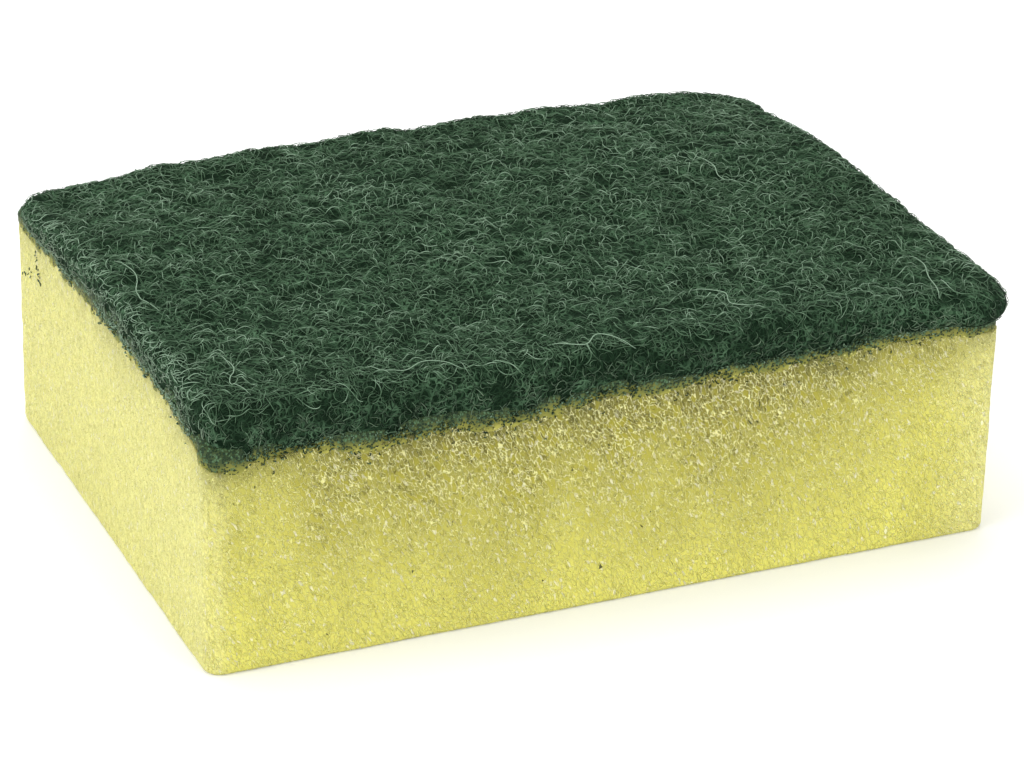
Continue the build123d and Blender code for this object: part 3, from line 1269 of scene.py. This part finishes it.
@dataclass
class StrayBits:
    """Loose bits of the pad: long pale fibres on its top, and clippings stuck to the foam."""

    form: PadForm
    foam: FoamBlock

    LONG = (
        ((43.3, -24.5), (43.6, -27.5), (42.6, -30.5), (42.2, -33.0), (41.6, -35.5)),
        ((31.0, 12.0), (32.5, 8.0), (32.0, 4.5), (33.5, 1.0)),
        ((-44.0, -22.0), (-43.5, -26.0), (-45.0, -29.0), (-44.0, -33.0)),
        ((-30.0, -31.0), (-26.0, -33.0), (-22.5, -32.0), (-19.0, -34.5)),
        ((14.0, -25.0), (17.0, -27.5), (16.5, -31.0), (20.0, -33.0)),
        ((-8.0, -33.0), (-4.0, -34.5), (-1.5, -33.0), (2.0, -36.0)),
        ((-47.0, 6.0), (-46.0, 1.0), (-47.5, -4.0), (-46.5, -9.0)),
    )
    TRAILS = (
        ((27.2, 26.0), (26.7, 25.3), (26.8, 24.6), (26.3, 24.1)),
        ((26.2, 23.6), (25.8, 23.2), (26.0, 22.9), (25.6, 22.8)),
        ((33.0, 20.6), (31.2, 21.6), (29.2, 22.6)),
    )
    crumbs: int = 9
    crumb_reach: float = 0.26 * MM
    crumb_scatter: float = 0.24 * MM

    @staticmethod
    def curve(stops: np.ndarray, steps: int) -> np.ndarray:
        """A smooth line through some stops.

        Each stretch is a cubic whose slope at a stop is half the step between its neighbours.
        """
        ends = np.vstack([2 * stops[0] - stops[1], stops, 2 * stops[-1] - stops[-2]])
        t = np.linspace(0.0, len(stops) - 1.0, steps)
        k = np.minimum(t.astype(int), len(stops) - 2)
        u = (t - k)[:, None]
        before, first, last, after = (ends[k + j] for j in range(4))
        return 0.5 * (2 * first + (last - before) * u + (2 * before - 5 * first + 4 * last - after) * u ** 2
                      + (3 * first - before - 3 * last + after) * u ** 3)

    @staticmethod
    def tube(line: np.ndarray, radius: float, sides: int = 5) -> tuple[np.ndarray, list[np.ndarray]]:
        """A closed tube about a line, which tapers at its ends.

        Each ring is square to the line, and its radius is the tube's times the fourth root of
        the sine of the share of the way along.
        """
        along = unit(np.gradient(line, axis=0))
        across = unit(np.cross(along, (0.31, 0.22, 0.93)))
        upward = np.cross(across, along)
        turns = np.arange(sides) * 2 * math.pi / sides
        size = radius * np.sin(math.pi * np.linspace(0.04, 0.96, len(line))) ** 0.25
        ring = np.cos(turns)[None, :, None] * across[:, None] + np.sin(turns)[None, :, None] * upward[:, None]
        points = (line[:, None] + size[:, None, None] * ring).reshape(-1, 3)
        last = (len(line) - 1) * sides
        caps = np.array([np.arange(sides)[::-1], last + np.arange(sides)])
        return points, [ring_faces(len(line), sides), caps]

    def build_bits(self, name: str, lines: list[np.ndarray], radius: float, finish: FibreFinish,
                   shade: float) -> bpy.types.Object:
        """Joins some tubes into one piece.

        Args:
            name: the piece's name.
            lines: the tubes' middle lines.
            radius: the tubes' radius.
            finish: their finish.
            shade: how light they are.

        Returns:
            The piece.
        """
        made = [self.tube(line, radius) for line in lines]
        starts = np.cumsum([0] + [len(points) for points, _ in made])
        points = np.vstack([points for points, _ in made])
        faces = [np.vstack([part[k] + start for (_, part), start in zip(made, starts)]) for k in (0, 1)]
        values = {"shade": np.full(len(points), shade), "greyness": np.full(len(points), 0.1)}
        piece = mesh_piece(name, points, faces, None, values)
        piece.data.materials.append(finish.material())
        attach(piece, BODY)
        return piece

    def build(self) -> list[bpy.types.Object]:
        """Builds the long fibres on the pad, and the clippings on the foam's left face.

        Returns:
            The two pieces.
        """
        long_lines = []
        for stops in self.LONG:
            sheet = self.curve(np.array(stops) * MM, 40)
            ends = smooth(0.0, 0.1, np.minimum(np.linspace(0, 1, 40), np.linspace(1, 0, 40)))
            long_lines.append(self.form.wrap(sheet, (0.30 * ends - 0.15) * MM)[0])
        side = -self.foam.length_x / 2
        rng = np.random.default_rng(105)
        clipped = []
        for stops in self.TRAILS:
            trail = self.curve(np.array(stops) * MM, self.crumbs)
            for y, z in trail + rng.normal(0.0, self.crumb_scatter, (self.crumbs, 2)):
                heading = rng.uniform(0.0, math.pi)
                reach = np.linspace(-1.0, 1.0, 4) * self.crumb_reach * rng.uniform(0.3, 1.0)
                sag = 0.04 * MM * np.cos(reach / self.crumb_reach)
                clipped.append(np.stack([side - sag, y + reach * math.cos(heading),
                                         z + reach * math.sin(heading)], axis=-1))
        return [
            self.build_bits("fibres_long", long_lines, 0.06 * MM, FibreFinish("fibres_long"), 0.98),
            self.build_bits("fibre_clippings", clipped, 0.075 * MM, FibreFinish("fibre_clippings"), 0.22),
        ]


# ---------------------------------------------------------------- the studio


@dataclass
class Studio:
    """A pale floor, soft lamps and the camera; the floor's lift is the glow that whitens it."""

    azimuth: float = math.radians(-23.567)
    elevation: float = math.radians(25.820)
    roll: float = math.radians(1.289)
    distance: float = 0.51173
    aim: Vector = field(default_factory=lambda: Vector((0.0, 0.0, 0.018)))
    lamp_aim: Vector = field(default_factory=lambda: Vector((0.0, 0.0, 0.015)))
    lens: float = 146.13
    shift: tuple[float, float] = (0.0154, -0.0430)
    floor_reach: float = 4.0
    floor_lift: float = 0.10
    far_lift: float = 0.50
    ambient: float = 0.62

    def camera(self) -> None:
        """Places the camera on a line from its aim, by azimuth and elevation, and rolls it."""
        cos_e, sin_e = math.cos(self.elevation), math.sin(self.elevation)
        back = Vector((math.sin(self.azimuth) * cos_e, -math.cos(self.azimuth) * cos_e, sin_e))
        right = Vector((math.cos(self.azimuth), math.sin(self.azimuth), 0.0))
        up = back.cross(right)
        c, s = math.cos(self.roll), math.sin(self.roll)
        right, up = c * right + s * up, -s * right + c * up
        data = bpy.data.cameras.new("camera")
        data.lens, data.shift_x, data.shift_y = self.lens, *self.shift
        data.clip_start = 0.01
        camera = bpy.data.objects.new("camera", data)
        camera.matrix_world = Matrix.Translation(self.aim + self.distance * back) @ Matrix(
            (right, up, back)).transposed().to_4x4()
        bpy.context.scene.collection.objects.link(camera)
        bpy.context.scene.camera = camera

    def lamp(self, name: str, place: tuple, size: float, power: float) -> None:
        """Adds a square area lamp that looks at the sponge's middle."""
        data = bpy.data.lights.new(name, "AREA")
        data.size, data.energy = size, power
        lamp = bpy.data.objects.new(name, data)
        lamp.location = place
        lamp.rotation_euler = (self.lamp_aim - Vector(place)).to_track_quat("-Z", "Y").to_euler()
        bpy.context.scene.collection.objects.link(lamp)

    def floor(self) -> None:
        """Adds the floor, a plain sheet at the object's base."""
        signs = np.array([(-1, -1, 0), (1, -1, 0), (1, 1, 0), (-1, 1, 0)])
        corners = self.floor_reach * signs
        floor = mesh_piece("floor", corners, [np.arange(4)[None]])
        recipe = Recipe("floor_white")
        away = recipe.node("ShaderNodeVectorMath", {"operation": "LENGTH"}, {0: recipe.place()})["Value"]
        share = self.floor_lift + (self.far_lift - self.floor_lift) * away.step(0.3, 1.0)
        lift = recipe.mix(recipe.seen() * share, (0.0, 0.0, 0.0), (1.0, 1.0, 1.0))
        floor.data.materials.append(recipe.finish(
            Base_Color=tint(248, 248, 248), Roughness=0.9, Specular_IOR_Level=0.1,
            Emission_Color=lift, Emission_Strength=1.0))

    def world(self) -> None:
        """A pale surround that the camera and gloss see as white."""
        world = bpy.data.worlds.new("surround")
        recipe = Recipe("surround", world)
        white = (1.0, 1.0, 1.0)
        ambient = recipe.node("ShaderNodeBackground", None, {"Color": white, "Strength": self.ambient})
        backdrop = recipe.node("ShaderNodeBackground", None, {"Color": white, "Strength": 1.0})
        values = {0: recipe.seen(), 1: ambient["Background"], 2: backdrop["Background"]}
        both = recipe.node("ShaderNodeMixShader", None, values)
        recipe.node("ShaderNodeOutputWorld", None, {"Surface": both["Shader"]})
        bpy.context.scene.world = world

    def build(self) -> None:
        """Builds the studio."""
        self.camera()
        self.world()
        self.floor()
        self.lamp("key_left", (-0.60, -0.10, 0.45), 0.5, 2.6)
        self.lamp("overhead", (0.05, 0.25, 0.80), 0.6, 3.2)
        self.lamp("fill_front", (0.45, -0.75, 0.30), 0.7, 3.0)
        bpy.context.scene.view_settings.view_transform = "Standard"


def main() -> None:
    """Builds the studio and each piece of the sponge in order."""
    logging.basicConfig(level=logging.INFO, format="%(name)s: %(message)s")
    Studio().build()
    seam = Seam()
    form = PadForm(seam)
    foam = FoamBlock(seam)
    made = [foam.build(), PadBody(form).build(), GlueLine(seam).build()]
    families = [
        FibreFamily("fibres_top_a", form, Lie.FLAT, 3120, 101),
        FibreFamily("fibres_top_b", form, Lie.FLAT, 3120, 102, light=0.08),
        FibreFamily("fibres_side", form, Lie.SIDE, 3600, 103, segments=7, step=0.24 * MM, curl=0.9 * MM,
                    middle=-0.15 * MM, swing=0.18 * MM, light=-0.22),
        FibreFamily("fibres_seam", form, Lie.SEAM, 4600, 104, segments=3, step=0.13 * MM, curl=0.6 * MM,
                    radius=0.07 * MM, middle=0.0, swing=0.06 * MM, light=-0.25),
    ]
    made += [family.build(FibreFinish(family.name)) for family in families]
    made += StrayBits(form, foam).build()
    for piece in made:
        LOG.info("%s: %d faces", piece.name, len(piece.data.polygons))


if __name__ == "__main__":
    main()
